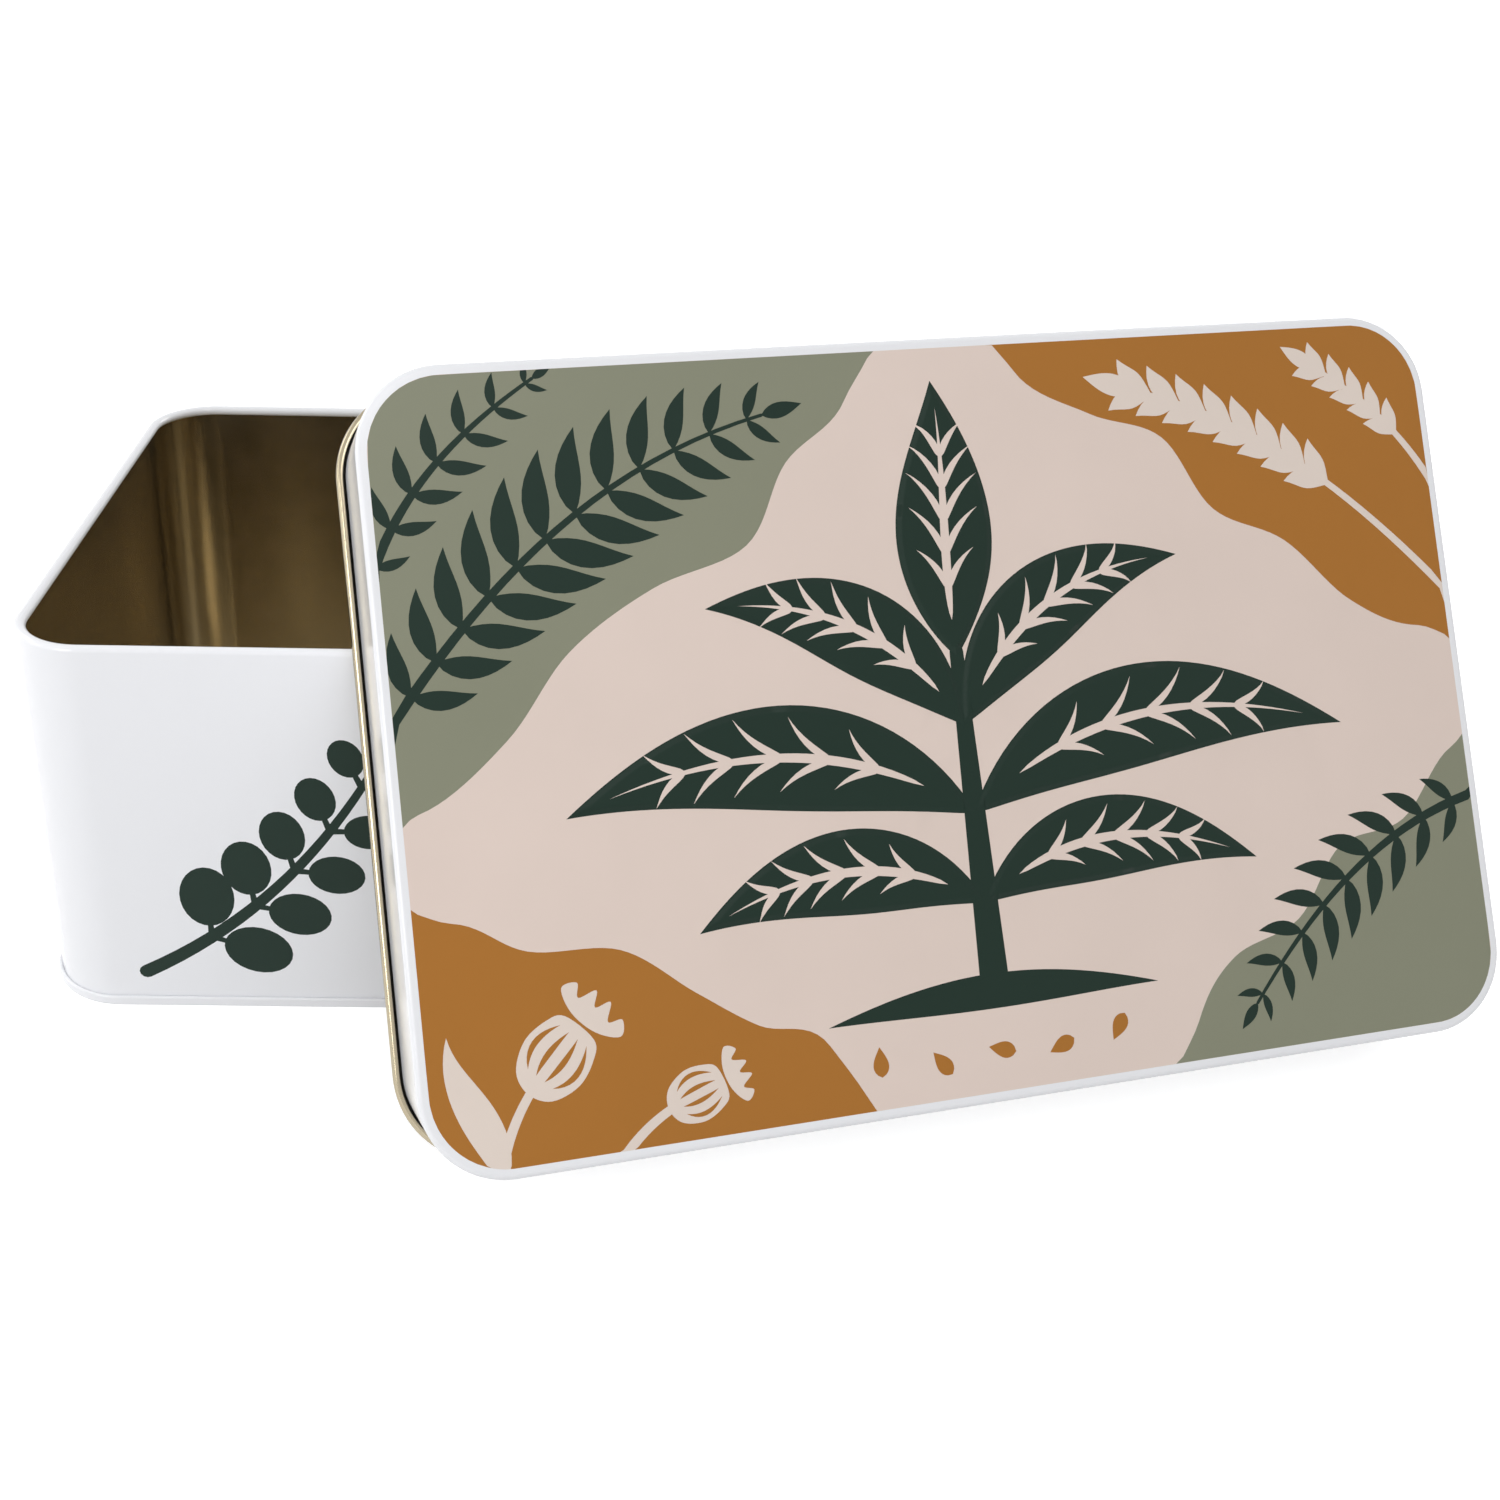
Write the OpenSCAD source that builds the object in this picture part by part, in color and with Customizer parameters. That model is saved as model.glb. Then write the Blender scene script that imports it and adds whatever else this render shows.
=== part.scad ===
// Garden seed organizer box: a rectangular tinplate box with a slip lid.
// The box stands over the origin. Its lid is off, stands on its long edge with
// its top face outward, and leans back on the rim: its inside meets the front
// right corner, and the curl of its left side meets the front.

/* [Lid] */
// Outside width of the lid, over its skirt
lid_w = 235; // [180:1:300]
// Outside depth of the lid, over its skirt
lid_d = 156; // [120:1:200]
// Height of the lid, from its open edge to its top face
lid_h = 29; // [22:0.5:36]
// Outside radius of the lid's four corners
lid_corner_r = 17.5; // [13:0.5:30]
// Outside radius of the drawn edge between the top face and the skirt
lid_edge_r = 1.2; // [0.8:0.1:3]
// Outside diameter of the outward curl round the lid's open edge
lid_curl_d = 2.3; // [1.6:0.1:3]

/* [Box] */
// Height of the box, from the ground to the top of its rim
box_h = 90.5; // [60:0.5:120]
// Gap on each side between the box wall and the skirt of the closed lid
lid_clearance = 0.5; // [0.3:0.1:1.5]
// Outside diameter of the inward curl round the rim
rim_curl_d = 2.4; // [1.6:0.1:3]
// Thickness of the tinplate
sheet_t = 0.3; // [0.2:0.05:0.35]

/* [Base seam] */
// Height of the folded seam round the foot of the box
seam_h = 2.4; // [2.2:0.1:4]
// Gap between a folded edge and the bend that it reaches into
fold_gap = 0.15; // [0.1:0.05:0.3]
// Width of the flat ring that the box stands on
foot_w = 5; // [3:0.5:7]
// Height by which the middle of the base is raised
base_rise = 1; // [0.8:0.1:2]

/* [Side seam] */
// Width of the locked seam that closes the wrapped wall
side_seam_w = 5.5; // [4:0.5:9]
// Place of the side seam along the back wall, from its middle
side_seam_x = 0; // [-60:1:60]
// Width and depth of the fine groove that the seam leaves outside
side_groove = 0.15; // [0.1:0.01:0.18]
// Distance between the end of the side seam's ridge and the rim curl above it
side_seam_stop = 1; // [0.5:0.5:5]

/* [Leaning lid] */
// Angle by which the lid leans back from upright
lean = 30.6; // [20:0.1:35]
// Angle by which the lid is turned out of line with the box's front
turn = 13.4; // [11:0.1:18]
// Gap between the lid and the rim at both places that it leans on
rest_gap = 0.3; // [0.1:0.1:1]

/* [Hidden] */
$fn = 96;

enamel_white = [0.93, 0.93, 0.92];
lacquer_gold = [0.66, 0.53, 0.33];
print_blush = [0.88, 0.81, 0.75];

// The closed lid slips over the box, so the box follows the lid's inside.
side_step = sheet_t + lid_clearance;
box_w = lid_w - 2 * side_step;
box_d = lid_d - 2 * side_step;
box_corner_r = lid_corner_r - side_step;

// Curls
rim_r = rim_curl_d / 2;
lid_curl_r = lid_curl_d / 2;
rim_curl_z = box_h - rim_r;
// Angles that the rolled edges leave open before they would meet their own sheet
rim_open = 60;
lid_open = 80;

// Folded base seam. Its tightest bend has half a sheet inside it, so its
// three outer layers lie face to face against the wall.
tight_in = sheet_t / 2;
tight_out = tight_in + sheet_t;
wide_out = 2 * sheet_t;
hook_z = sheet_t + tight_out;
hook_top_z = seam_h - tight_out;

// Step that raises the middle of the base: two quarter bends of this middle radius
step_r = base_rise / 2;
step_start = sheet_t - foot_w;
step_end = step_start - 2 * step_r;

// Side seam
ridge_t = 2 * sheet_t;
ridge_z = hook_z;
ridge_h = box_h - rim_curl_d - side_seam_stop - ridge_z;

// Part of a flat ring between two angles, at most half a turn apart
module ring_arc(outer_r, inner_r, from, to) {
    reach = 3 * outer_r;
    middle = (from + to) / 2;
    intersection() {
        difference() {
            circle(r = outer_r);
            circle(r = inner_r);
        }
        polygon([
            [0, 0],
            reach * [cos(from), sin(from)],
            reach * [cos(middle), sin(middle)],
            reach * [cos(to), sin(to)]
        ]);
    }
}

// Section of a curl: a flat ring of sheet that stays open between two angles
module curl_ring(outer_r, from, to) {
    reach = 3 * outer_r;
    difference() {
        circle(r = outer_r);
        circle(r = outer_r - sheet_t);
        polygon([
            [0, 0],
            reach * [cos(from), sin(from)],
            reach * [cos(to), sin(to)]
        ]);
    }
}

// Strip of sheet standing upright, from one height to another
module upright(x, low, high) {
    translate([x, low])
        square([sheet_t, high - low]);
}

// Outline of a rectangle with round corners, about the origin
module round_rect(w, d, r) {
    square([w - 2 * r, d], center = true);
    square([w, d - 2 * r], center = true);
    for (x = [-1, 1], y = [-1, 1])
        translate([x * (w / 2 - r), y * (d / 2 - r)])
            circle(r = r);
}

// Carries a section round a rectangle with round corners. The section's x runs
// outward from the rectangle and its y runs up.
module carry_round(w, d, r) {
    for (side = [0 : 3]) {
        along = side % 2 == 0 ? w : d;
        across = side % 2 == 0 ? d : w;
        rotate(90 * side) {
            translate([r - along / 2, -across / 2, 0])
                rotate([90, 0, 90])
                    linear_extrude(along - 2 * r)
                        mirror([1, 0])
                            children();
            translate([along / 2 - r, r - across / 2, 0])
                rotate(-90)
                    rotate_extrude(angle = 90)
                        translate([r, 0])
                            children();
        }
    }
}

// Wall: rolled inward at the top, and hooked outward and up at the foot
module wall_section() {
    upright(-sheet_t, hook_z, rim_curl_z);
    translate([-rim_r, rim_curl_z])
        curl_ring(rim_r, 360 - rim_open, 360);
    translate([tight_in, hook_z])
        ring_arc(tight_out, tight_in, 180, 360);
    upright(sheet_t, hook_z, hook_top_z - fold_gap);
}

// Base: its edge goes up outside the wall's hook, over it and down inside it
module base_section() {
    translate([step_start, 0])
        square([sheet_t - step_start, sheet_t]);
    translate([sheet_t, wide_out])
        ring_arc(wide_out, sheet_t, 270, 360);
    upright(2 * sheet_t, wide_out, hook_top_z);
    translate([sheet_t + tight_in, hook_top_z])
        ring_arc(tight_out, tight_in, 0, 180);
    upright(0, hook_z + fold_gap, hook_top_z);
    translate([step_start, sheet_t / 2 + step_r])
        ring_arc(step_r + sheet_t / 2, step_r - sheet_t / 2, 180, 270);
    translate([step_end, sheet_t / 2 + step_r])
        ring_arc(step_r + sheet_t / 2, step_r - sheet_t / 2, 0, 90);
}

// Lid's skirt: bent from the top face, and rolled outward at the open edge
module lid_section() {
    translate([-lid_edge_r, lid_h - lid_edge_r])
        ring_arc(lid_edge_r, lid_edge_r - sheet_t, 0, 90);
    upright(-sheet_t, lid_curl_r, lid_h - lid_edge_r);
    translate([lid_curl_r - sheet_t, lid_curl_r])
        curl_ring(lid_curl_r, 180 - lid_open, 180);
}

// Flattened lock of the side seam, seen from above, inside the back wall
module side_seam_outline() {
    flat_w = side_seam_w - 2 * ridge_t;
    intersection() {
        union() {
            square([flat_w, 2 * ridge_t], center = true);
            for (x = [-1, 1])
                translate([x * flat_w / 2, 0])
                    circle(r = ridge_t);
        }
        translate([-side_seam_w, -2 * ridge_t])
            square([2 * side_seam_w, 2 * ridge_t + sheet_t / 2]);
    }
}

module body_wall() {
    inner_face = box_d / 2 - sheet_t;
    color(enamel_white)
        difference() {
            union() {
                carry_round(box_w, box_d, box_corner_r)
                    wall_section();
                translate([side_seam_x, inner_face, ridge_z])
                    linear_extrude(ridge_h)
                        side_seam_outline();
            }
            translate([side_seam_x + side_seam_w / 2 - ridge_t, box_d / 2 - side_groove, seam_h])
                cube([side_groove, 2 * side_groove, ridge_h + ridge_z - seam_h]);
        }
}

module base_plate() {
    color(lacquer_gold) {
        carry_round(box_w, box_d, box_corner_r)
            base_section();
        translate([0, 0, base_rise])
            linear_extrude(sheet_t)
                round_rect(box_w + 2 * step_end, box_d + 2 * step_end, box_corner_r + step_end);
    }
}

// Stands the lid on the curl of its long edge and leans it back until its inside
// meets the rim's corner. The reach of the rim is measured along the direction
// that the lid's top face looks in. Then the lid is shifted along its own width
// until the middle lines of its left curl and of the front rim pass each other
// at the distance that leaves the same gap there.
module lean_on_rim() {
    foot_y = sheet_t - lid_curl_r - lid_d / 2;
    lift = lid_curl_r - foot_y * cos(lean) - lid_curl_r * sin(lean);
    corner_x = box_w / 2 - box_corner_r;
    corner_y = box_corner_r - box_d / 2;
    corner_reach = cos(lean) * (sin(turn) * corner_x - cos(turn) * corner_y);
    rim_reach = corner_reach + sin(lean) * rim_curl_z + (box_corner_r - rim_r) * cos(lean) + rim_r;
    back = (lift * sin(lean) - rim_reach - rest_gap + lid_h - sheet_t) / cos(lean);
    drop = (lift + lid_curl_r * sin(lean) - rim_curl_z) * sin(lean) * cos(turn);
    apart = (lid_curl_r + rim_r + rest_gap) * norm([cos(lean), sin(lean) * cos(turn)]);
    curl_y = rim_r - box_d / 2 + (drop - apart) / cos(lean);
    curl_x = (curl_y - (back - lid_curl_r * cos(lean)) * cos(turn)) / sin(turn);
    rotate(turn)
        translate([curl_x + lid_w / 2 - sheet_t + lid_curl_r, back, lift])
            rotate([90 - lean, 0, 0])
                children();
}

module lid() {
    color(print_blush)
        lean_on_rim() {
            carry_round(lid_w, lid_d, lid_corner_r)
                lid_section();
            translate([0, 0, lid_h - sheet_t])
                linear_extrude(sheet_t)
                    round_rect(lid_w - 2 * lid_edge_r, lid_d - 2 * lid_edge_r, lid_corner_r - lid_edge_r);
        }
}

body_wall();
base_plate();
lid();
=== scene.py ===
import bpy
import numpy as np
from mathutils import Matrix, Vector
from mathutils.geometry import delaunay_2d_cdt


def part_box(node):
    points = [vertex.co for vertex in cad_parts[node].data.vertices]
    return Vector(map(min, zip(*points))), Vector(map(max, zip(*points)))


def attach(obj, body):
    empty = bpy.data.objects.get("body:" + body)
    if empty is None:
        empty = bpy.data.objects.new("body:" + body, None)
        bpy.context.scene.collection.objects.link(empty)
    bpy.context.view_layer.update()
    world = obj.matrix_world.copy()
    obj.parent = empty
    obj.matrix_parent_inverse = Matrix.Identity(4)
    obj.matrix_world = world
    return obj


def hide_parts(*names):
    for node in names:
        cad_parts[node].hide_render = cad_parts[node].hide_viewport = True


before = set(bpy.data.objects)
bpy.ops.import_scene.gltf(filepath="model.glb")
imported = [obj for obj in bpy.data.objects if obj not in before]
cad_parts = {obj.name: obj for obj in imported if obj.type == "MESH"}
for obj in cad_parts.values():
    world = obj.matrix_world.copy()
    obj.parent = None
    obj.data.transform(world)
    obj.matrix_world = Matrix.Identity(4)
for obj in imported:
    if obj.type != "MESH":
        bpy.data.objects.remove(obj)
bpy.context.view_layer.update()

# A tinplate seed box with its printed slip lid leaning on the rim. Shapes are worked out in
# millimetres and put into the meshes in metres.
mm = 0.001
print("frame loaded:", ", ".join(sorted(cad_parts)))

sheet = 0.3  # thickness of the tinplate
weldTo = 5  # decimals of a millimetre to which shared points agree
joinNear = 1e-5  # millimetres within which the print's outlines share a point
tiny = 1e-9  # keeps a division off nought, and a smaller area is none


# Sections: stretches of (x, y) points with outward normals, which lie to the right of the way they run

def line(start, end):
    # straight from start to end; the normal is the direction turned a quarter to the right
    start, end = np.array(start, float), np.array(end, float)
    way = (end - start) / np.linalg.norm(end - start)
    return np.array([start, end]), np.tile([way[1], -way[0]], (2, 1))


def arc(centre, radius, start, end, step=11.0):
    # centre + radius (cos a, sin a) from angle start to end; run backwards it is the inside of a bend
    count = int(np.ceil(abs(end - start) / step)) + 1
    turn = np.radians(np.linspace(start, end, count))
    out = np.column_stack([np.cos(turn), np.sin(turn)])
    return np.array(centre) + radius * out, out * np.sign(end - start)


def lip(centre, radius, angle):
    # cut end of the sheet where a curl of this outer radius stops, from its outside to its inside
    way = np.array([np.cos(np.radians(angle)), np.sin(np.radians(angle))])
    return line(np.array(centre) + radius * way, np.array(centre) + (radius - sheet) * way)


def roundRing(width, depth, corner, steps=20):
    # four quarter circles of the corner radius, anticlockwise from the right: points and outward directions
    quarter = np.radians(np.linspace(0, 90, steps + 1))
    turn = (quarter + np.radians([[0], [90], [180], [270]])).ravel()
    centre = np.array([[1, 1], [-1, 1], [-1, -1], [1, -1]]) * [width / 2 - corner, depth / 2 - corner]
    out = np.column_stack([np.cos(turn), np.sin(turn)])
    return np.repeat(centre, steps + 1, axis=0) + corner * out, out


def ringAt(ring, outward, height):
    # the ring pushed outward and set at a height
    spots = ring[0] + outward * ring[1]
    return np.column_stack([spots, np.full(len(spots), height)])


def carry(stretch, ring, finish):
    # band: ring point + outward * section x, at height section y
    section, normals = stretch
    points, out = ring
    rows, spots = len(section), len(points)
    pushed = points[None] + section[:, None, :1] * out[None]
    verts = np.dstack([pushed, np.repeat(section[:, 1:], spots, axis=1)]).reshape(-1, 3)
    leant = normals[:, None, :1] * out[None]
    aims = np.dstack([leant, np.repeat(normals[:, 1:], spots, axis=1)]).reshape(-1, 3)
    row, spot = (index.ravel() for index in np.meshgrid(np.arange(rows - 1), np.arange(spots), indexing="ij"))
    after = (spot + 1) % spots
    quads = np.column_stack([row * spots + spot, row * spots + after,
                             (row + 1) * spots + after, (row + 1) * spots + spot])
    return verts, aims, quads, finish


def cap(outline, aim, finish):
    # one flat face round an outline of 3-D points that runs anticlockwise seen from its outside
    return outline, np.tile(np.array(aim, float), (len(outline), 1)), np.arange(len(outline))[None], finish


def fence(low, high, finish):
    # flat four-sided faces between two outlines of as many points; a normal is the cross product of two edges
    corners = np.stack([low, np.roll(low, -1, axis=0), np.roll(high, -1, axis=0), high], axis=1)
    aims = np.cross(corners[:, 1] - corners[:, 0], corners[:, 3] - corners[:, 0])
    aims /= np.linalg.norm(aims, axis=1, keepdims=True)
    quads = np.arange(4 * len(low)).reshape(-1, 4)
    return corners.reshape(-1, 3), np.repeat(aims, 4, axis=0), quads, finish


def turned(patch, place):
    # the patch moved by a 4 by 4 place
    verts, aims, faces, finish = patch
    return verts @ place[:3, :3].T + place[:3, 3], aims @ place[:3, :3].T, faces, finish


def buildPiece(name, patches, finishes):
    # joins the patches, welds the points that they share and keeps each patch's own normals
    verts = np.concatenate([p[0] for p in patches])
    _, first, weld = np.unique(np.round(verts, weldTo) + 0.0, axis=0, return_index=True, return_inverse=True)
    weld = weld.ravel()
    order = list(finishes)
    faces, aims, slots, offset = [], [], [], 0
    for spots, normals, quads, finish in patches:
        faces += weld[quads + offset].tolist()
        aims.append(normals[quads.ravel()])
        names = [finish] * len(quads) if isinstance(finish, str) else finish
        slots += [order.index(n) for n in names]
        offset += len(spots)
    mesh = bpy.data.meshes.new(name)
    mesh.from_pydata((verts[first] * mm).tolist(), [], faces)
    for material in finishes.values():
        mesh.materials.append(material)
    mesh.polygons.foreach_set("material_index", slots)
    mesh.polygons.foreach_set("use_smooth", np.ones(len(faces), bool))
    mesh.normals_split_custom_set(np.concatenate(aims).tolist())
    mesh.update()
    piece = bpy.data.objects.new(name, mesh)
    bpy.context.scene.collection.objects.link(piece)
    print(f"{name}: {len(mesh.vertices)} points, {len(faces)} faces")
    return piece


# Print: flat shapes as outlines of (x, y) points, each with its ink

def spine(base, tip, arch, at):
    # cubic curve from base to tip; arch pushes its two inner handles to the left, as shares of its length
    base, tip = np.array(base, float), np.array(tip, float)
    chord = tip - base
    left = np.array([-chord[1], chord[0]])
    a, b, c, d = base, base + chord / 3 + arch[0] * left, tip - chord / 3 + arch[1] * left, tip
    t = np.asarray(at, float)[:, None]
    spots = (1 - t) ** 3 * a + 3 * t * (1 - t) ** 2 * b + 3 * t ** 2 * (1 - t) * c + t ** 3 * d
    way = (1 - t) ** 2 * (b - a) + 2 * t * (1 - t) * (c - b) + t ** 2 * (d - c)
    return spots, way / np.linalg.norm(way, axis=1, keepdims=True)


def leftOf(way):
    # the directions turned a quarter to the left: minus y, x
    return np.column_stack([-way[:, 1], way[:, 0]])


def leafHalf(at, width, belly):
    # half width of a leaf along its spine: the sine of pi * at ** belly
    return width / 2 * np.sin(np.pi * np.clip(at, 0, 1) ** belly)


def leaf(base, tip, width, arch=(0.0, 0.0), belly=0.85, count=22, span=(0, 1)):
    # spine plus and minus its half width, over a span of it
    at = np.linspace(0, 1, count)
    spots, way = spine(base, tip, arch, span[0] + (span[1] - span[0]) * at)
    half = leafHalf(at, width, belly)[:, None] * leftOf(way)
    return np.concatenate([spots - half, (spots + half)[-2:0:-1]])


def stroke(base, tip, arch, wide, narrow, count=22):
    # a tapering line along a spine, with round ends
    spots, way = spine(base, tip, arch, np.linspace(0, 1, count))
    side = leftOf(way)
    half = np.linspace(wide, narrow, count)[:, None] / 2
    turn = np.radians(np.linspace(-90, 90, 7))[1:-1, None]
    nose = spots[-1] + half[-1] * (np.cos(turn) * way[-1] + np.sin(turn) * side[-1])
    heel = spots[0] - half[0] * (np.cos(turn) * way[0] + np.sin(turn) * side[0])
    return np.concatenate([spots - half * side, nose, (spots + half * side)[::-1], heel])


def oval(centre, long, wide, turn=0.0, count=26):
    # (long cos a, wide sin a) / 2, turned by an angle in degrees
    around = np.linspace(0, 2 * np.pi, count, endpoint=False)
    c, s = np.cos(np.radians(turn)), np.sin(np.radians(turn))
    flat = np.column_stack([long / 2 * np.cos(around), wide / 2 * np.sin(around)])
    return np.array(centre) + flat @ np.array([[c, s], [-s, c]])


def flowing(points, steps=10):
    # closed Catmull-Rom curve through the points
    p = np.array(points, float)[:, None]
    a, b, c, d = np.roll(p, 1, 0), p, np.roll(p, -1, 0), np.roll(p, -2, 0)
    t = np.linspace(0, 1, steps, endpoint=False)[None, :, None]
    curve = 0.5 * (2 * b + (c - a) * t + (2 * a - 5 * b + 4 * c - d) * t ** 2
                   + (3 * b - a - 3 * c + d) * t ** 3)
    return curve.reshape(-1, 2)


def keptWithin(outline, width, depth, corner):
    # points outside a rectangle with round corners move to the nearest point of its edge
    reach = np.array([width / 2 - corner, depth / 2 - corner])
    core = np.clip(outline, -reach, reach)
    away = outline - core
    far = np.linalg.norm(away, axis=1, keepdims=True)
    return core + away * np.minimum(1, corner / np.maximum(far, tiny))


def goesRound(outline, spots):
    # turns of the outline round each spot: its edges that cross the spot's level on the right, up less down
    a, b = outline, np.roll(outline, -1, axis=0)
    x, y = spots[:, :1], spots[:, 1:]
    up, down = (a[:, 1] <= y) & (b[:, 1] > y), (a[:, 1] > y) & (b[:, 1] <= y)
    rise = np.where(a[:, 1] == b[:, 1], 1, b[:, 1] - a[:, 1])
    right = a[:, 0] + (y - a[:, 1]) / rise * (b[:, 0] - a[:, 0]) > x
    return (up & right).sum(axis=1) != (down & right).sum(axis=1)


def inlay(border, shapes, extra=()):
    # constrained Delaunay triangles in a convex border; the last shape round a triangle's middle inks it
    points, edges, offset = [], [], 0
    for outline in [border] + [outline for _, outline in shapes]:
        order = np.arange(len(outline))
        edges.append(offset + np.column_stack([order, np.roll(order, -1)]))
        points.append(outline)
        offset += len(outline)
    points = np.concatenate(points + [np.array(extra).reshape(-1, 2)])
    flat, _, tris, sources, _, _ = delaunay_2d_cdt(
        [Vector(p) for p in points], np.concatenate(edges).tolist(), [], 0, joinNear, True)
    spots = np.array([v[:] for v in flat])
    own = np.array([min(source, default=len(points)) for source in sources])
    onBorder = own < len(border)
    spots[onBorder] = border[own[onBorder]]  # the border keeps its exact points
    tris = np.array([list(t) for t in tris])
    a, b, c = spots[tris[:, 0]], spots[tris[:, 1]], spots[tris[:, 2]]
    area = (b[:, 0] - a[:, 0]) * (c[:, 1] - a[:, 1]) - (b[:, 1] - a[:, 1]) * (c[:, 0] - a[:, 0])
    tris[area < 0] = tris[area < 0][:, ::-1]
    tris = tris[abs(area) > tiny]
    middle = spots[tris].mean(axis=1)
    inkHere = np.full(len(tris), shapes[0][0], dtype=object)
    for ink, outline in shapes[1:]:
        low, high = outline.min(axis=0), outline.max(axis=0)
        near = np.flatnonzero(np.all((middle >= low) & (middle <= high), axis=1))
        inkHere[near[goesRound(outline, middle[near])]] = ink
    return spots, tris, inkHere.tolist()


# Materials

def linear(hexColour):
    # sRGB to linear: a straight part in the darks, then a power of 2.4
    srgb = np.array([int(hexColour[i:i + 2], 16) for i in (1, 3, 5)]) / 255
    rgb = np.where(srgb <= 0.04045, srgb / 12.92, ((srgb + 0.055) / 1.055) ** 2.4)
    return (*rgb.tolist(), 1.0)


def addNode(tree, kind, settings=None, **inputs):
    # settings are the node's own; an input, by socket name with _ for a space, is a value or an output socket
    node = tree.nodes.new(kind)
    for key, value in (settings or {}).items():
        setattr(node, key, value)
    for key, value in inputs.items():
        socket = node.inputs[int(key[1:])] if key[1:].isdigit() else node.inputs[key.replace("_", " ")]
        if isinstance(value, bpy.types.NodeSocket):
            tree.links.new(value, socket)
        else:
            socket.default_value = value
    return node


def newMaterial(name, **surface):
    # a material with its shader, given the shader's fixed sockets
    material = bpy.data.materials.new(name)
    material.use_nodes = True
    tree = material.node_tree
    shader = tree.nodes["Principled BSDF"]
    for key, value in surface.items():
        shader.inputs[key.replace("_", " ")].default_value = value
    place = addNode(tree, "ShaderNodeTexCoord").outputs["Object"]
    return material, tree, shader, place


def ripple(tree, shader, place, size, depth, stretch=(1, 1, 1)):
    # unevenness of the surface: noise of a size in millimetres, and its depth in millimetres
    moved = addNode(tree, "ShaderNodeMapping", Vector=place, Scale=stretch).outputs["Vector"]
    noise = addNode(tree, "ShaderNodeTexNoise", Vector=moved, Scale=1 / (size * mm), Detail=2.0)
    bump = addNode(tree, "ShaderNodeBump", Height=noise.outputs["Fac"], Distance=depth * mm, Strength=1.0)
    tree.links.new(bump.outputs["Normal"], shader.inputs["Normal"])


def mottled(tree, shader, place, light, dark, size):
    # colour that drifts between two near shades over a size in millimetres
    noise = addNode(tree, "ShaderNodeTexNoise", Vector=place, Scale=1 / (size * mm), Detail=3.0)
    mix = addNode(tree, "ShaderNodeMix", {"data_type": "RGBA"}, Factor=noise.outputs["Fac"],
                  _6=linear(light), _7=linear(dark))
    tree.links.new(mix.outputs[2], shader.inputs["Base Color"])  # inputs 6 and 7 and output 2 are its colours


# finishes: two near shades, the millimetres over which they drift, and the size and depth of the unevenness
enamel = {"light": "#F1F2F5", "dark": "#EEEFF3", "drift": 60, "roughness": 0.16,
          "peel": 1.4, "peelDepth": 0.004}


def whiteEnamel():
    # stoved white enamel, rolled onto tinplate: smooth and glossy with a very faint orange peel
    material, tree, shader, place = newMaterial("stoved_white_enamel", Roughness=enamel["roughness"])
    mottled(tree, shader, place, enamel["light"], enamel["dark"], enamel["drift"])
    ripple(tree, shader, place, enamel["peel"], enamel["peelDepth"])
    return material


lacquer = {"light": "#B5AA92", "dark": "#ABA088", "drift": 18, "roughness": 0.22, "uneven": 0.05, "cloud": 9,
           "grain": 0.45, "grainDepth": 0.0012, "rolledOut": (0.03, 0.03, 1)}


def goldLacquer():
    # gold food lacquer stoved over bright tinplate: a warm metal with the fine grain of rolled steel, which is
    # drawn coarser than it is, so that it shows
    material, tree, shader, place = newMaterial("gold_lacquered_tinplate", Metallic=1.0)
    mottled(tree, shader, place, lacquer["light"], lacquer["dark"], lacquer["drift"])
    ripple(tree, shader, place, lacquer["grain"], lacquer["grainDepth"], lacquer["rolledOut"])
    cloud = addNode(tree, "ShaderNodeTexNoise", Vector=place, Scale=1 / (lacquer["cloud"] * mm), Detail=2.0)
    spread = addNode(tree, "ShaderNodeMapRange", Value=cloud.outputs["Fac"],
                     To_Min=lacquer["roughness"] - lacquer["uneven"],
                     To_Max=lacquer["roughness"] + lacquer["uneven"])
    tree.links.new(spread.outputs["Result"], shader.inputs["Roughness"])
    return material


# uncoated metal of the sheared edge with its coarse break, and painted shade inside the lid's curl: a dull
# grey metal where the sheet's white enamel rolls in, which darkens the crevice between the curl and the skirt
bareSteelAndPaintedShade = {"sheared_steel_edge": {"light": "#A5A39E", "dark": "#7F7C76", "drift": 1.5, "roughness": 0.48},
           "curl_inside_painted_shade": {"light": "#8F8D87", "dark": "#76746E", "drift": 2, "roughness": 0.42}}


def greyMetal(name):
    # grey metal in two near shades: bare steel dulled by air and handling on the sheared edge, and painted
    # shade inside the lid's curl
    look = bareSteelAndPaintedShade[name]
    material, tree, shader, place = newMaterial(name, Metallic=1.0, Roughness=look["roughness"])
    mottled(tree, shader, place, look["light"], look["dark"], look["drift"])
    return material


inks = {"blush": "#E8D6CC", "ochre": "#AE7330", "sage": "#8C8E7A", "leafGreen": "#172C23", "cream": "#E9DBD0"}
inkFilm = {"roughness": 0.42, "specular": 0.2, "fade": 0.97, "drift": 25, "peel": 2.2, "peelDepth": 0.005}


def printedInk(name):
    # litho ink on white enamel under a satin varnish: an even colour with a slight drift from the rollers
    material, tree, shader, place = newMaterial(f"litho_ink_{name}", Roughness=inkFilm["roughness"],
                                                Specular_IOR_Level=inkFilm["specular"])
    level = [int(inks[name][i:i + 2], 16) for i in (1, 3, 5)]
    faded = "#" + "".join(f"{round(value * inkFilm['fade']):02X}" for value in level)
    mottled(tree, shader, place, inks[name], faded, inkFilm["drift"])
    ripple(tree, shader, place, inkFilm["peel"], inkFilm["peelDepth"])
    return material


white, gold = whiteEnamel(), goldLacquer()
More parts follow.
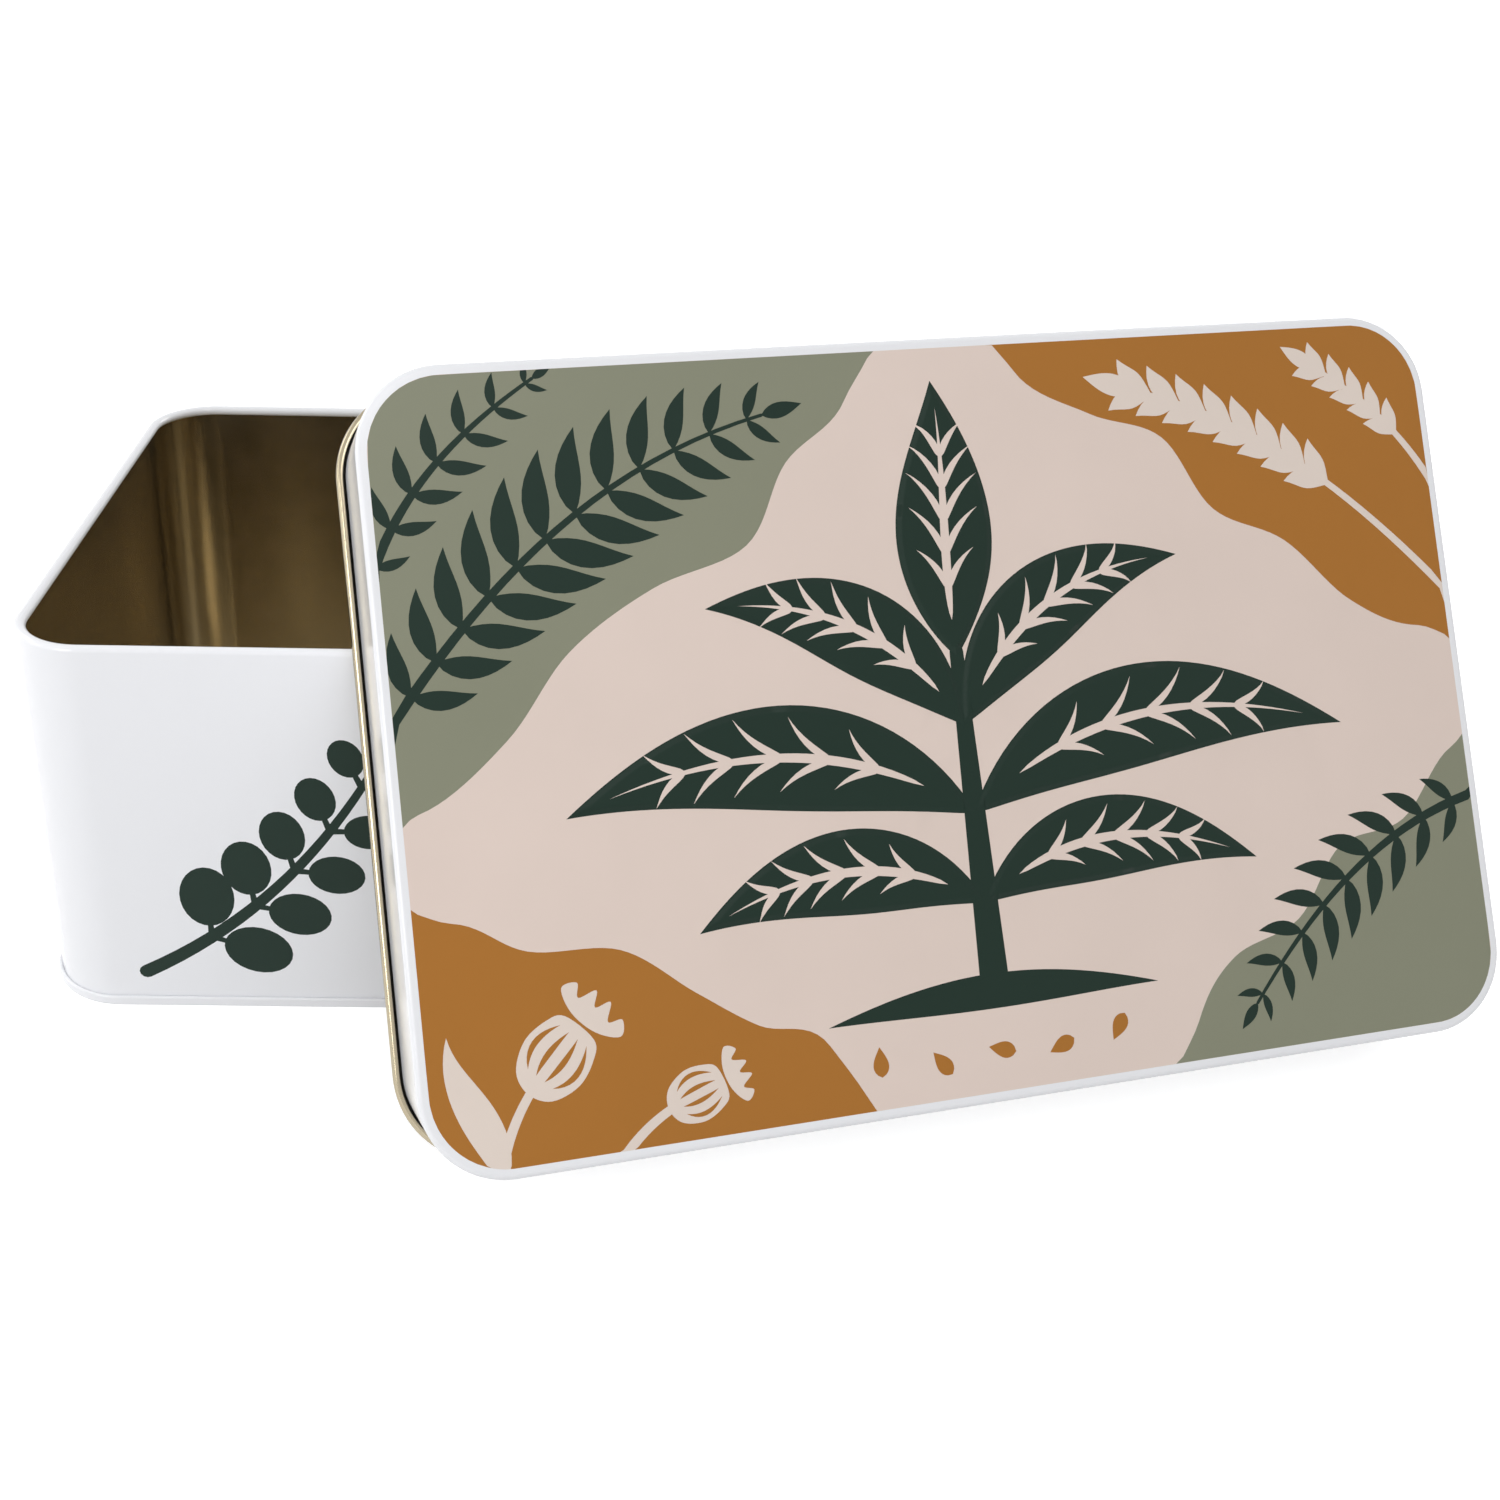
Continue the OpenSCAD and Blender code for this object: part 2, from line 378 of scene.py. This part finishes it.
# the second grey metal is painted shade for the inside of the lid's curl
steel, bare = (greyMetal(name) for name in bareSteelAndPaintedShade)
printing = {name: printedInk(name) for name in inks}
print("materials made:", len([white, gold, steel, bare, *printing]))

# The box: one wrapped wall and a base folded round its foot

lidSize = {"width": 235, "depth": 156, "height": 29, "corner": 17.5, "edge": 1.2, "curl": 2.3, "open": 80}
boxSize = {"height": 90.5, "clearance": 0.5, "curl": 2.4, "open": 60, "seam": 2.4, "foldGap": 0.15,
           "foot": 5, "rise": 1}
sideSeam = {"width": 5.5, "groove": 0.15, "stop": 1}

sideStep = sheet + boxSize["clearance"]
boxWidth, boxDepth = lidSize["width"] - 2 * sideStep, lidSize["depth"] - 2 * sideStep
boxCorner = lidSize["corner"] - sideStep
boxRing = roundRing(boxWidth, boxDepth, boxCorner)
rimR = boxSize["curl"] / 2
rimZ = boxSize["height"] - rimR
tightIn, tightOut = sheet / 2, 1.5 * sheet
hookZ = sheet + tightOut
hookTop = boxSize["seam"] - tightOut
# branch on the front wall: its line in (across, height), and leaves that get smaller towards its tip
sprig = {"base": (-93, 9), "tip": (-34, 74), "arch": (-0.12, -0.1), "thick": (3.4, 1.4),
         "pairs": 5, "span": (0.2, 0.8), "across": 0.82, "along": 0.57, "stalk": 4, "stalkThick": (1.6, 1.2),
         "leaf": 15.5, "smaller": 1.5, "leafWide": 0.78, "leafFrom": 3, "endLeaf": (10, 7), "endFrom": 4.5}


def wallSprig():
    # round leaves in pairs on short stalks, and one at the tip
    stem = sprig["base"], sprig["tip"], sprig["arch"]
    shapes = [stroke(*stem, *sprig["thick"])]
    spots, way = spine(*stem, np.linspace(*sprig["span"], sprig["pairs"]))
    for hand in (-1, 1):
        for row, (spot, along, across) in enumerate(zip(spots, way, leftOf(way))):
            size = sprig["leaf"] - sprig["smaller"] * row
            out = sprig["across"] * hand * across + sprig["along"] * along
            shapes.append(stroke(spot, spot + sprig["stalk"] * out, (0, 0), *sprig["stalkThick"], 6))
            angle = np.degrees(np.arctan2(out[1], out[0]))
            centre = spot + (sprig["leafFrom"] + size / 2) * out
            shapes.append(oval(centre, size, size * sprig["leafWide"], angle))
    (end,), (ahead,) = spine(*stem, [1.0])
    angle = np.degrees(np.arctan2(ahead[1], ahead[0]))
    shapes.append(oval(end + sprig["endFrom"] * ahead, *sprig["endLeaf"], angle))
    return [("leafGreen", outline) for outline in shapes]


def wallPatch(shapes, aim, groove=None):
    # one flat side of the wall, drawn in (across, height) as seen from outside, with what is printed on it
    half = boxWidth / 2 - boxCorner
    border = np.array([[-half, hookZ], [half, hookZ], [half, rimZ], [-half, rimZ]], float)
    spots, tris, inksHere = inlay(border, [("white", border)] + shapes)
    y = aim * boxDepth / 2
    verts = np.column_stack([-aim * spots[:, 0], np.full(len(spots), y), spots[:, 1]])
    if groove is not None:
        mid = spots[tris].mean(axis=1)
        keep = ~np.all((mid > groove.min(axis=0)) & (mid < groove.max(axis=0)), axis=1)
        tris, inksHere = tris[keep], [ink for ink, stays in zip(inksHere, keep) if stays]
    return verts, np.tile([0.0, aim, 0.0], (len(verts), 1)), tris, inksHere


def boxWall():
    # arcs and lines from the rolled rim down to the hook at the foot, carried round, and the side seam's lock
    rimCentre, hookCentre = (-rimR, rimZ), (tightIn, hookZ)
    wallFront = line((0, hookZ), (0, rimZ))
    flangeTop = hookTop - boxSize["foldGap"]
    rolled = 360 - boxSize["open"]
    stretches = [
        (arc(rimCentre, rimR, 0, rolled), "white"),
        (lip(rimCentre, rimR, rolled), "steel"),
        (arc(rimCentre, rimR - sheet, rolled, 0), "gold"),
        (line((-sheet, rimZ), (-sheet, hookZ)), "gold"),
        (arc(hookCentre, tightOut, 180, 360), "gold"),
        (line((2 * sheet, hookZ), (2 * sheet, flangeTop)), "gold"),
        (line((2 * sheet, flangeTop), (sheet, flangeTop)), "steel"),
        (line((sheet, flangeTop), (sheet, hookZ)), "white"),
        (arc(hookCentre, tightIn, 360, 180), "white"),
    ]
    patches = [carry(stretch, boxRing, finish) for stretch, finish in stretches]
    # the outer face has its two long sides left out, for the print in front and the seam's groove behind
    spots = len(boxRing[0])
    verts, aims, quads, finish = carry(wallFront, boxRing, "white")
    longSides = [spots // 4 - 1, 3 * spots // 4 - 1]
    patches.append((verts, aims, np.delete(quads, longSides, axis=0), finish))
    patches.append(wallPatch(wallSprig(), -1))
    # fine groove of the side seam, open to the back
    thick, flat = 2 * sheet, sideSeam["width"] / 2 - 2 * sheet
    x = -flat
    ridgeTop = boxSize["height"] - boxSize["curl"] - sideSeam["stop"]
    groove = np.array([[x - sideSeam["groove"], boxSize["seam"]], [x, boxSize["seam"]], [x, ridgeTop],
                       [x - sideSeam["groove"], ridgeTop]])
    patches.append(wallPatch([("white", groove)], 1, groove))
    rim = np.column_stack([-groove[:, 0], np.full(4, boxDepth / 2), groove[:, 1]])
    floor = rim - [0, sideSeam["groove"], 0]
    patches.append(cap(floor, (0, 1, 0), "white"))
    patches.append(fence(rim, floor, "white"))
    # ridge of the side seam inside the back wall: flat, with rounded shoulders
    turn = np.radians(np.linspace(0, 90, 8))
    shoulder = np.column_stack([flat + thick * np.cos(turn), -thick * np.sin(turn)])
    outline = np.concatenate([[[flat + thick, sheet / 2]], shoulder, shoulder[::-1] * [-1, 1],
                              [[-flat - thick, sheet / 2]]])[::-1]
    outline = outline + [0, boxDepth / 2 - sheet]
    low, high = (np.column_stack([outline, np.full(len(outline), z)]) for z in (hookZ, ridgeTop))
    patches.append(cap(high, (0, 0, 1), "gold"))
    patches.append(cap(low[::-1], (0, 0, -1), "gold"))
    patches.append(fence(low, high, "gold"))
    finishes = {"white": white, "gold": gold, "steel": steel, "leafGreen": printing["leafGreen"]}
    return buildPiece("box_wall", patches, finishes)


def boxBase():
    # arcs and lines of the step and of the edge folded round the hook, carried round, and the raised middle
    stepR = boxSize["rise"] / 2
    stepStart = sheet - boxSize["foot"]
    stepEnd = stepStart - 2 * stepR
    stepZ = sheet / 2 + stepR
    inner, outer = stepR - sheet / 2, stepR + sheet / 2
    bend, top = (sheet, 2 * sheet), (1.5 * sheet, hookTop)
    foldEnd = hookZ + boxSize["foldGap"]
    stretches = [
        (arc((stepEnd, stepZ), inner, 90, 0), "white"),
        (arc((stepStart, stepZ), outer, 180, 270), "white"),
        (line((stepStart, 0), (sheet, 0)), "white"),
        (arc(bend, 2 * sheet, 270, 360), "white"),
        (line((3 * sheet, 2 * sheet), (3 * sheet, hookTop)), "white"),
        (arc(top, tightOut, 0, 180), "white"),
        (line((0, hookTop), (0, foldEnd)), "white"),
        (line((0, foldEnd), (sheet, foldEnd)), "steel"),
        (line((sheet, foldEnd), (sheet, hookTop)), "gold"),
        (arc(top, tightIn, 180, 0), "gold"),
        (line((2 * sheet, hookTop), (2 * sheet, 2 * sheet)), "gold"),
        (arc(bend, sheet, 360, 270), "gold"),
        (line((sheet, sheet), (stepStart, sheet)), "gold"),
        (arc((stepStart, stepZ), inner, 270, 180), "gold"),
        (arc((stepEnd, stepZ), outer, 0, 90), "gold"),
    ]
    patches = [carry(stretch, boxRing, finish) for stretch, finish in stretches]
    patches.append(cap(ringAt(boxRing, stepEnd, boxSize["rise"] + sheet), (0, 0, 1), "gold"))
    patches.append(cap(ringAt(boxRing, stepEnd, boxSize["rise"])[::-1], (0, 0, -1), "white"))
    return buildPiece("box_base", patches, {"white": white, "gold": gold, "steel": steel})


wallPiece, basePiece = boxWall(), boxBase()

# The lid: skirt and curl carried round, and the printed top face

leaning = {"lean": 30.6, "turn": 13.4, "gap": 0.3}


def lidPlace():
    # lift from the curl that it stands on, then back and shift from the two places where it meets the rim
    lean, turn = np.radians(leaning["lean"]), np.radians(leaning["turn"])
    curlR = lidSize["curl"] / 2
    footY = sheet - curlR - lidSize["depth"] / 2
    lift = curlR - footY * np.cos(lean) - curlR * np.sin(lean)
    cornerX, cornerY = boxWidth / 2 - boxCorner, boxCorner - boxDepth / 2
    reach = np.cos(lean) * (np.sin(turn) * cornerX - np.cos(turn) * cornerY)
    reach += np.sin(lean) * rimZ + (boxCorner - rimR) * np.cos(lean) + rimR
    back = (lift * np.sin(lean) - reach - leaning["gap"] + lidSize["height"] - sheet) / np.cos(lean)
    drop = (lift + curlR * np.sin(lean) - rimZ) * np.sin(lean) * np.cos(turn)
    apart = (curlR + rimR + leaning["gap"]) * np.hypot(np.cos(lean), np.sin(lean) * np.cos(turn))
    curlY = rimR - boxDepth / 2 + (drop - apart) / np.cos(lean)
    curlX = (curlY - (back - curlR * np.cos(lean)) * np.cos(turn)) / np.sin(turn)
    shift = curlX + lidSize["width"] / 2 - sheet + curlR
    return np.array(Matrix.Rotation(turn, 4, "Z") @ Matrix.Translation((shift, back, lift))
                    @ Matrix.Rotation(np.pi / 2 - lean, 4, "X"))


whiteEdge = 2.2  # round the print, from the skirt's outer face
printed = (lidSize["width"] - 2 * whiteEdge, lidSize["depth"] - 2 * whiteEdge, lidSize["corner"] - whiteEdge)
inset = 0.04  # by which the shapes on the print stay short of its edge
# the seedling's leaves stand up over a slope: inward is how far inside the outline its rows of points lie
emboss = {"rise": 0.35, "slope": 1.5, "belly": 0.85, "traced": 240,
          "inward": (0.25, 0.5, 0.75, 1.0, 1.25, 1.5, 4.0), "apart": 0.15, "rowPoints": 60}
# base, tip, width and arch of each raised leaf of the seedling
seedling = [
    ((0, 12), (1, 69), 21, (0.03, -0.03)),
    ((0, -2), (-52, 26), 18, (-0.2, -0.2)), ((0, -2), (52, 29), 18, (0.2, 0.2)),
    ((0, -20), (-84, -12), 21, (-0.2, -0.16)), ((0, -20), (86, -10), 21, (0.2, 0.16)),
    ((0, -38), (-60, -37), 17, (-0.22, -0.17)), ((0, -38), (62, -36), 17, (0.22, 0.17)),
]


def raisedHeight(spots):
    # smoothstep of the distance inside a leaf's outline, and the highest where leaves meet
    height = np.zeros(len(spots))
    at = np.linspace(0, 1, emboss["traced"])
    for base, tip, width, arch in seedling:
        middle, _ = spine(base, tip, arch, at)
        away = np.linalg.norm(spots[:, None] - middle[None], axis=2)
        near = away.argmin(axis=1)
        inside = leafHalf(at[near], width, emboss["belly"]) - away.min(axis=1)
        t = np.clip(inside / emboss["slope"], 0, 1)
        height = np.maximum(height, emboss["rise"] * t * t * (3 - 2 * t))
    return height


def raisedPoints():
    # points along each leaf, at steps inward from its outline, that carry the slope
    found = []
    at = np.linspace(0.01, 0.99, emboss["rowPoints"])
    for base, tip, width, arch in seedling:
        spots, way = spine(base, tip, arch, at)
        side, half = leftOf(way), leafHalf(at, width, emboss["belly"])
        for inward in emboss["inward"]:
            fits = half > inward + emboss["apart"]
            for hand in (-1, 1):
                found.append(spots[fits] + hand * side[fits] * (half[fits] - inward)[:, None])
    return np.concatenate(found)


# motifs: spans are shares of a spine, thick is its two ends, and across and along give a branch's way off it
veins = {"midrib": 1.9, "midribSpan": (0.13, 0.9), "pairs": 5, "span": (0.24, 0.72), "across": 0.74,
         "behind": 0.3, "wide": 1.5, "arch": 0.12, "belly": 0.6}
frond = {"thick": (2.2, 0.7), "span": (0.1, 0.97), "along": 0.62, "across": 0.78, "wide": 0.3, "arch": 0.1,
         "belly": 0.8, "least": 0.3, "swell": (0.12, 0.83), "endLong": 0.5, "endWide": 0.18}
ear = {"thick": (1.8, 1.0), "span": (0.45, 0.97), "along": 0.84, "across": 0.54, "wide": 0.42, "arch": 0.14,
       "belly": 0.9, "seat": 0.5, "endFrom": 0.3, "endTo": 1.5, "endWide": 0.45}


def veined(base, tip, width, arch, ink):
    # midrib and paired side veins, left out of a leaf in the colour of the ground
    shapes = [leaf(base, tip, veins["midrib"], arch, veins["belly"], 30, veins["midribSpan"])]
    at = np.linspace(*veins["span"], veins["pairs"])
    spots, way = spine(base, tip, arch, at)
    reaches = leafHalf(at, width, emboss["belly"])
    for hand in (-1, 1):
        bend = (-veins["arch"] * hand, -veins["arch"] * hand)
        for spot, along, across, reach in zip(spots, way, leftOf(way), reaches):
            end = spot + veins["across"] * reach * hand * across + reach * along
            shapes.append(leaf(spot - veins["behind"] * along, end, veins["wide"], bend, veins["belly"], 9))
    return [(ink, outline) for outline in shapes]


def fern(base, tip, arch, pairs, reach, ink):
    # a stalk with paired leaflets, whose length goes by a sine along it and is least at the tip
    shapes = [stroke(base, tip, arch, *frond["thick"])]
    at = np.linspace(*frond["span"], pairs)
    spots, way = spine(base, tip, arch, at)
    start, rise = frond["swell"]
    for hand in (-1, 1):
        bend = (frond["arch"] * hand, frond["arch"] * hand)
        for t, spot, along, across in zip(at, spots, way, leftOf(way)):
            swell = np.sin(np.pi * (start + rise * t))
            length = reach * (frond["least"] + (1 - frond["least"]) * swell)
            end = spot + length * (frond["along"] * along + frond["across"] * hand * across)
            shapes.append(leaf(spot, end, frond["wide"] * length, bend, frond["belly"], 10))
    (end,), (ahead,) = spine(base, tip, arch, [1.0])
    shapes.append(leaf(end, end + frond["endLong"] * reach * ahead, frond["endWide"] * reach, (0, 0),
                       frond["belly"], 10))
    return [(ink, outline) for outline in shapes]


def wheat(base, tip, arch, rows, grain, ink):
    # an ear: plump grains in pairs up a stem, and one at its top
    shapes = [stroke(base, tip, arch, *ear["thick"])]
    spots, way = spine(base, tip, arch, np.linspace(*ear["span"], rows))
    for hand in (-1, 1):
        bend = (-ear["arch"] * hand, -ear["arch"] * hand)
        for spot, along, across in zip(spots, way, leftOf(way)):
            end = spot + grain * (ear["along"] * along + ear["across"] * hand * across)
            seat = spot + ear["seat"] * hand * across
            shapes.append(leaf(seat, end, ear["wide"] * grain, bend, ear["belly"], 10))
    end, ahead = spots[-1], way[-1]
    shapes.append(leaf(end + ear["endFrom"] * grain * ahead, end + ear["endTo"] * grain * ahead,
                       ear["endWide"] * grain))
    return [(ink, outline) for outline in shapes]


def poppyHead(base, centre, size, arch, ink, ground):
    # a seed capsule on a stem: an egg with ribs and a scalloped crown, drawn in shares of its size
    _, way = spine(base, centre, arch, [1.0])
    along, across = way[0], leftOf(way)[0]

    def at(out, up):
        return np.array(centre) + size * (out * across + up * along)

    egg = [(0, -0.62), (0.3, -0.5), (0.46, -0.14), (0.4, 0.22), (0.24, 0.42), (-0.24, 0.42), (-0.4, 0.22),
           (-0.46, -0.14), (-0.3, -0.5)]
    crown = [(-0.5, 0.66), (-0.38, 0.84), (-0.25, 0.7), (-0.12, 0.92), (0, 0.74), (0.12, 0.92), (0.25, 0.7),
             (0.38, 0.84), (0.5, 0.66), (0.2, 0.5), (-0.2, 0.5)]
    shapes = [(ink, stroke(base, at(0, -0.5), arch, 2.2, 1.7))]
    shapes += [(ink, flowing([at(*spot) for spot in outline], 6)) for outline in (egg, crown)]
    for out in (-0.27, -0.09, 0.09, 0.27):
        low, high = at(0.75 * out, -0.38), at(0.8 * out, 0.3)
        shapes.append((ground, leaf(low, high, 0.08 * size, (1.1 * out, 0.8 * out), 0.9, 12)))
    return shapes


def seeds(spots, size, ink):
    # a scatter of seeds, each a short pointed oval turned a little further than the last
    shapes = []
    for index, spot in enumerate(spots):
        turn = np.radians(90 + 37 * index)
        reach = size / 2 * np.array([np.cos(turn), np.sin(turn)])
        ends = np.array(spot) - reach, np.array(spot) + reach
        shapes.append((ink, leaf(*ends, 0.55 * size, (0, 0), 0.7, 12)))
    return shapes


def lidPrint():
    # grounds at the corners, ferns, ears and seed heads on them, and the seedling in the middle
    shapes = [
        ("sage", flowing([(-130, -6), (-112, -8), (-94, 4), (-80, 20), (-62, 31), (-42, 38), (-32, 54),
                          (-18, 66), (-12, 90), (-70, 120), (-150, 100)])),
        ("ochre", flowing([(-130, -30), (-108, -29), (-94, -36), (-76, -38), (-62, -48), (-50, -56),
                           (-36, -62), (-28, -92), (-80, -110), (-150, -100)])),
        ("ochre", flowing([(16, 92), (20, 70), (36, 60), (52, 54), (62, 38), (78, 30), (92, 16), (108, 9),
                           (130, 12), (150, 100), (80, 115)])),
        ("sage", flowing([(130, -16), (112, -18), (98, -32), (82, -36), (70, -50), (54, -56), (44, -68),
                          (36, -92), (90, -110), (150, -100)])),
    ]
    shapes += fern((-118, 6), (-36, 64), (0.1, 0.14), 12, 18, "leafGreen")
    shapes += fern((-118, 34), (-82, 74), (0.14, 0.1), 7, 10, "leafGreen")
    shapes += fern((118, -28), (58, -66), (-0.14, -0.1), 9, 13, "leafGreen")
    shapes += wheat((118, 14), (48, 64), (-0.08, -0.12), 8, 10.5, "cream")
    shapes += wheat((118, 36), (92, 66), (-0.1, -0.1), 5, 8, "cream")
    shapes += poppyHead((-104, -82), (-90, -56), 15, (0.1, 0.1), "cream", "ochre")
    shapes += poppyHead((-84, -84), (-63, -67), 11.5, (0.12, 0.12), "cream", "ochre")
    shapes += [("cream", leaf((-103, -80), (-111, -50), 7, (-0.14, 0.12)))]
    for base, tip, width, arch in seedling:
        shapes.append(("leafGreen", leaf(base, tip, width, arch, emboss["belly"], 40)))
        shapes += veined(base, tip, width, arch, "blush")
    shapes.append(("leafGreen", stroke((0, -56), (0, 13), (0, 0), 6.4, 3)))
    shapes.append(("leafGreen", leaf((-36, -58.5), (36, -58.5), 7, (0.05, 0.05), 1.0, 30)))
    shapes += seeds([(-26, -66.5), (-13, -68.5), (0, -67.5), (13, -68.5), (26, -66.5)], 6, "ochre")
    within = [(ink, keptWithin(outline, *(size - inset for size in printed))) for ink, outline in shapes]
    outline, _ = roundRing(*printed)
    return [("white", outline), ("blush", outline)] + within


def slipLid():
    # arcs and lines of the skirt, its bent edge and its curl, carried round, and the two sides of the top face
    width, depth, height, corner = (lidSize[key] for key in ("width", "depth", "height", "corner"))
    edge, curlR = lidSize["edge"], lidSize["curl"] / 2
    ring = roundRing(width, depth, corner)
    bend, curl = (-edge, height - edge), (curlR - sheet, curlR)
    rolled = 180 + 360 - lidSize["open"]
    stretches = [
        (line((0, curlR), (0, height - edge)), "white"),
        (arc(bend, edge, 0, 90, 9), "white"),
        (arc(bend, edge - sheet, 90, 0, 9), "gold"),
        (line((-sheet, height - edge), (-sheet, curlR)), "gold"),
        (arc(curl, curlR, 180, rolled), "gold"),
        (lip(curl, curlR, rolled), "steel"),
        # inside the curl: painted shade, a dull grey metal where the white enamel lies in the crevice's shade
        (arc(curl, curlR - sheet, rolled, 180), "bare"),
    ]
    patches = [carry(stretch, ring, finish) for stretch, finish in stretches]
    patches.append(cap(ringAt(ring, -edge, height - sheet)[::-1], (0, 0, -1), "gold"))
    # the printed top face, with the seedling's leaves raised
    rimOutline = ringAt(ring, -edge, height)[:, :2]
    spots, tris, inksHere = inlay(rimOutline, lidPrint(), raisedPoints())
    nudge = 0.02  # step over which the slope is read
    up, upX, upY = (raisedHeight(spots + np.array(step)) for step in ((0, 0), (nudge, 0), (0, nudge)))
    aims = np.column_stack([(up - upX) / nudge, (up - upY) / nudge, np.ones(len(spots))])
    aims /= np.linalg.norm(aims, axis=1, keepdims=True)
    verts = np.column_stack([spots, height + up])
    patches.append((verts, aims, tris, inksHere))
    place = lidPlace()
    finishes = {"white": white, "gold": gold, "steel": steel, "bare": bare, **printing}
    return buildPiece("slip_lid", [turned(patch, place) for patch in patches], finishes)


lidPiece = slipLid()

dressed = [(wallPiece, "body_wall", "box"), (basePiece, "base_plate", "box"), (lidPiece, "lid", "lid")]
for piece, node, body in dressed:
    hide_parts(node)
    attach(piece, body)
    corners = np.array([corner[:] for corner in piece.bound_box])
    cad = np.array([corner[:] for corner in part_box(node)])
    off = max(abs(corners.min(axis=0) - cad[0]).max(), abs(corners.max(axis=0) - cad[1]).max())
    print(f"{node}: differs from the construction by {off / mm:.4f} mm")

# Floor, light and camera

# room: level by the height of the direction, with a white sweep, a dim wall above it and a bright ceiling, as
# it lights the object; where it is shown, it is white all over
studio = {"floor": "#D2D2D2", "floorRough": 0.9, "floorHalf": 6.0, "floorZ": -0.00002, "glow": 0.7,
          "room": [(0.0, 1.0), (0.12, 1.0), (0.3, 0.0), (0.5, 0.05), (0.7, 0.9), (1.0, 0.9)],
          "aim": (0.05, -0.03, 0.05)}
# soft lamps: a wide key from the front left, one over the lid, and three at the sides and behind, which the
# lacquer shows as a soft band in the box's back left corner
lamps = {"key": {"watts": 2.06, "size": 0.3, "at": (-0.55, -0.7, 0.35)},
         "over": {"watts": 0.9, "size": 0.3, "at": (0.05, -0.55, 0.75)},
         "backRight": {"watts": 3.3, "size": 0.46, "at": (0.66, 0.62, 0.42)},
         "left": {"watts": 0.6, "size": 0.3, "at": (-0.9, -0.22, 0.37)},
         "backLeft": {"watts": 0.6, "size": 0.3, "at": (-0.67, 0.19, 0.4)}}


def shown(tree):
    # 1 where it is seen straight, in a gloss or through glass, and 0 where it lights a matt surface
    path = addNode(tree, "ShaderNodeLightPath").outputs
    gloss = addNode(tree, "ShaderNodeMath", _0=path["Is Glossy Ray"], _1=path["Is Transmission Ray"])
    return addNode(tree, "ShaderNodeMath", _0=path["Is Camera Ray"], _1=gloss.outputs[0]).outputs[0]


def setFloor():
    # matt white studio sweep, which glows a little more where it is shown, so that it stays white
    half, z = studio["floorHalf"], studio["floorZ"]
    corners = [(-half, -half, z), (half, -half, z), (half, half, z), (-half, half, z)]
    mesh = bpy.data.meshes.new("floor")
    mesh.from_pydata(corners, [], [(0, 1, 2, 3)])
    floor = bpy.data.objects.new("floor", mesh)
    bpy.context.scene.collection.objects.link(floor)
    material, tree, shader, _ = newMaterial("matt_white_sweep", Base_Color=linear(studio["floor"]),
                                            Roughness=studio["floorRough"], Emission_Color=(1, 1, 1, 1))
    glow = addNode(tree, "ShaderNodeMath", {"operation": "MULTIPLY"}, _0=shown(tree), _1=studio["glow"])
    tree.links.new(glow.outputs[0], shader.inputs["Emission Strength"])
    mesh.materials.append(material)


def setWorld():
    # a pale room, whose light on matt surfaces goes by height
    world = bpy.data.worlds.new("pale_studio")
    world.use_nodes = True
    tree = world.node_tree
    back = tree.nodes["Background"]
    back.inputs["Color"].default_value = (1, 1, 1, 1)
    way = addNode(tree, "ShaderNodeTexCoord").outputs["Generated"]
    height = addNode(tree, "ShaderNodeSeparateXYZ", Vector=way).outputs["Z"]
    room = addNode(tree, "ShaderNodeValToRGB", Fac=height)
    stops = room.color_ramp.elements
    for index, (spot, level) in enumerate(studio["room"]):
        stop = stops[index] if index < 2 else stops.new(spot)  # a ramp is made with two stops
        stop.position, stop.color = spot, (level, level, level, 1.0)
    seen = addNode(tree, "ShaderNodeMath", {"operation": "MAXIMUM"}, _0=room.outputs["Color"], _1=shown(tree))
    tree.links.new(seen.outputs[0], back.inputs["Strength"])
    bpy.context.scene.world = world


def setLamps():
    # square area lamps, all turned to one spot on the object
    for part, lit in lamps.items():
        lamp = bpy.data.lights.new(part, "AREA")
        lamp.energy, lamp.size = lit["watts"], lit["size"]
        holder = bpy.data.objects.new(part, lamp)
        holder.location = lit["at"]
        holder.rotation_euler = (Vector(studio["aim"]) - holder.location).to_track_quat("-Z", "Y").to_euler()
        bpy.context.scene.collection.objects.link(holder)


# camera solved from the photograph's edges: place in millimetres, angles in degrees, the rest in its pixels
view = {"at": (4.78, -394.1, 251.39), "pitch": 26.222, "yaw": -0.982, "roll": 1.328, "focal": 1727.3,
        "axisAt": (612.4, 635.4), "frame": 1500}


def setCamera():
    # turned by yaw and pitch, then rolled about its own axis, which the shift puts at its place in the frame
    pitch, yaw, roll = (np.radians(view[key]) for key in ("pitch", "yaw", "roll"))
    turn = np.array(Matrix.Rotation(yaw, 3, "Z") @ Matrix.Rotation(-pitch, 3, "X"))
    right, ahead, up = turn.T
    right, up = np.cos(roll) * right + np.sin(roll) * up, np.cos(roll) * up - np.sin(roll) * right
    camera = bpy.data.cameras.new("camera")
    camera.sensor_width = 36
    camera.lens = view["focal"] * camera.sensor_width / view["frame"]
    half = view["frame"] / 2
    camera.shift_x = (half - view["axisAt"][0]) / view["frame"]
    camera.shift_y = (view["axisAt"][1] - half) / view["frame"]
    camera.clip_start = 0.02
    holder = bpy.data.objects.new("camera", camera)
    place = np.eye(4)
    place[:3, :3] = np.column_stack([right, up, -ahead])
    place[:3, 3] = np.array(view["at"]) * mm
    holder.matrix_world = Matrix(place.tolist())
    bpy.context.scene.collection.objects.link(holder)
    bpy.context.scene.camera = holder


setFloor()
setWorld()
setLamps()
setCamera()
bpy.context.scene.view_settings.view_transform = "Standard"
print("stage and camera set")
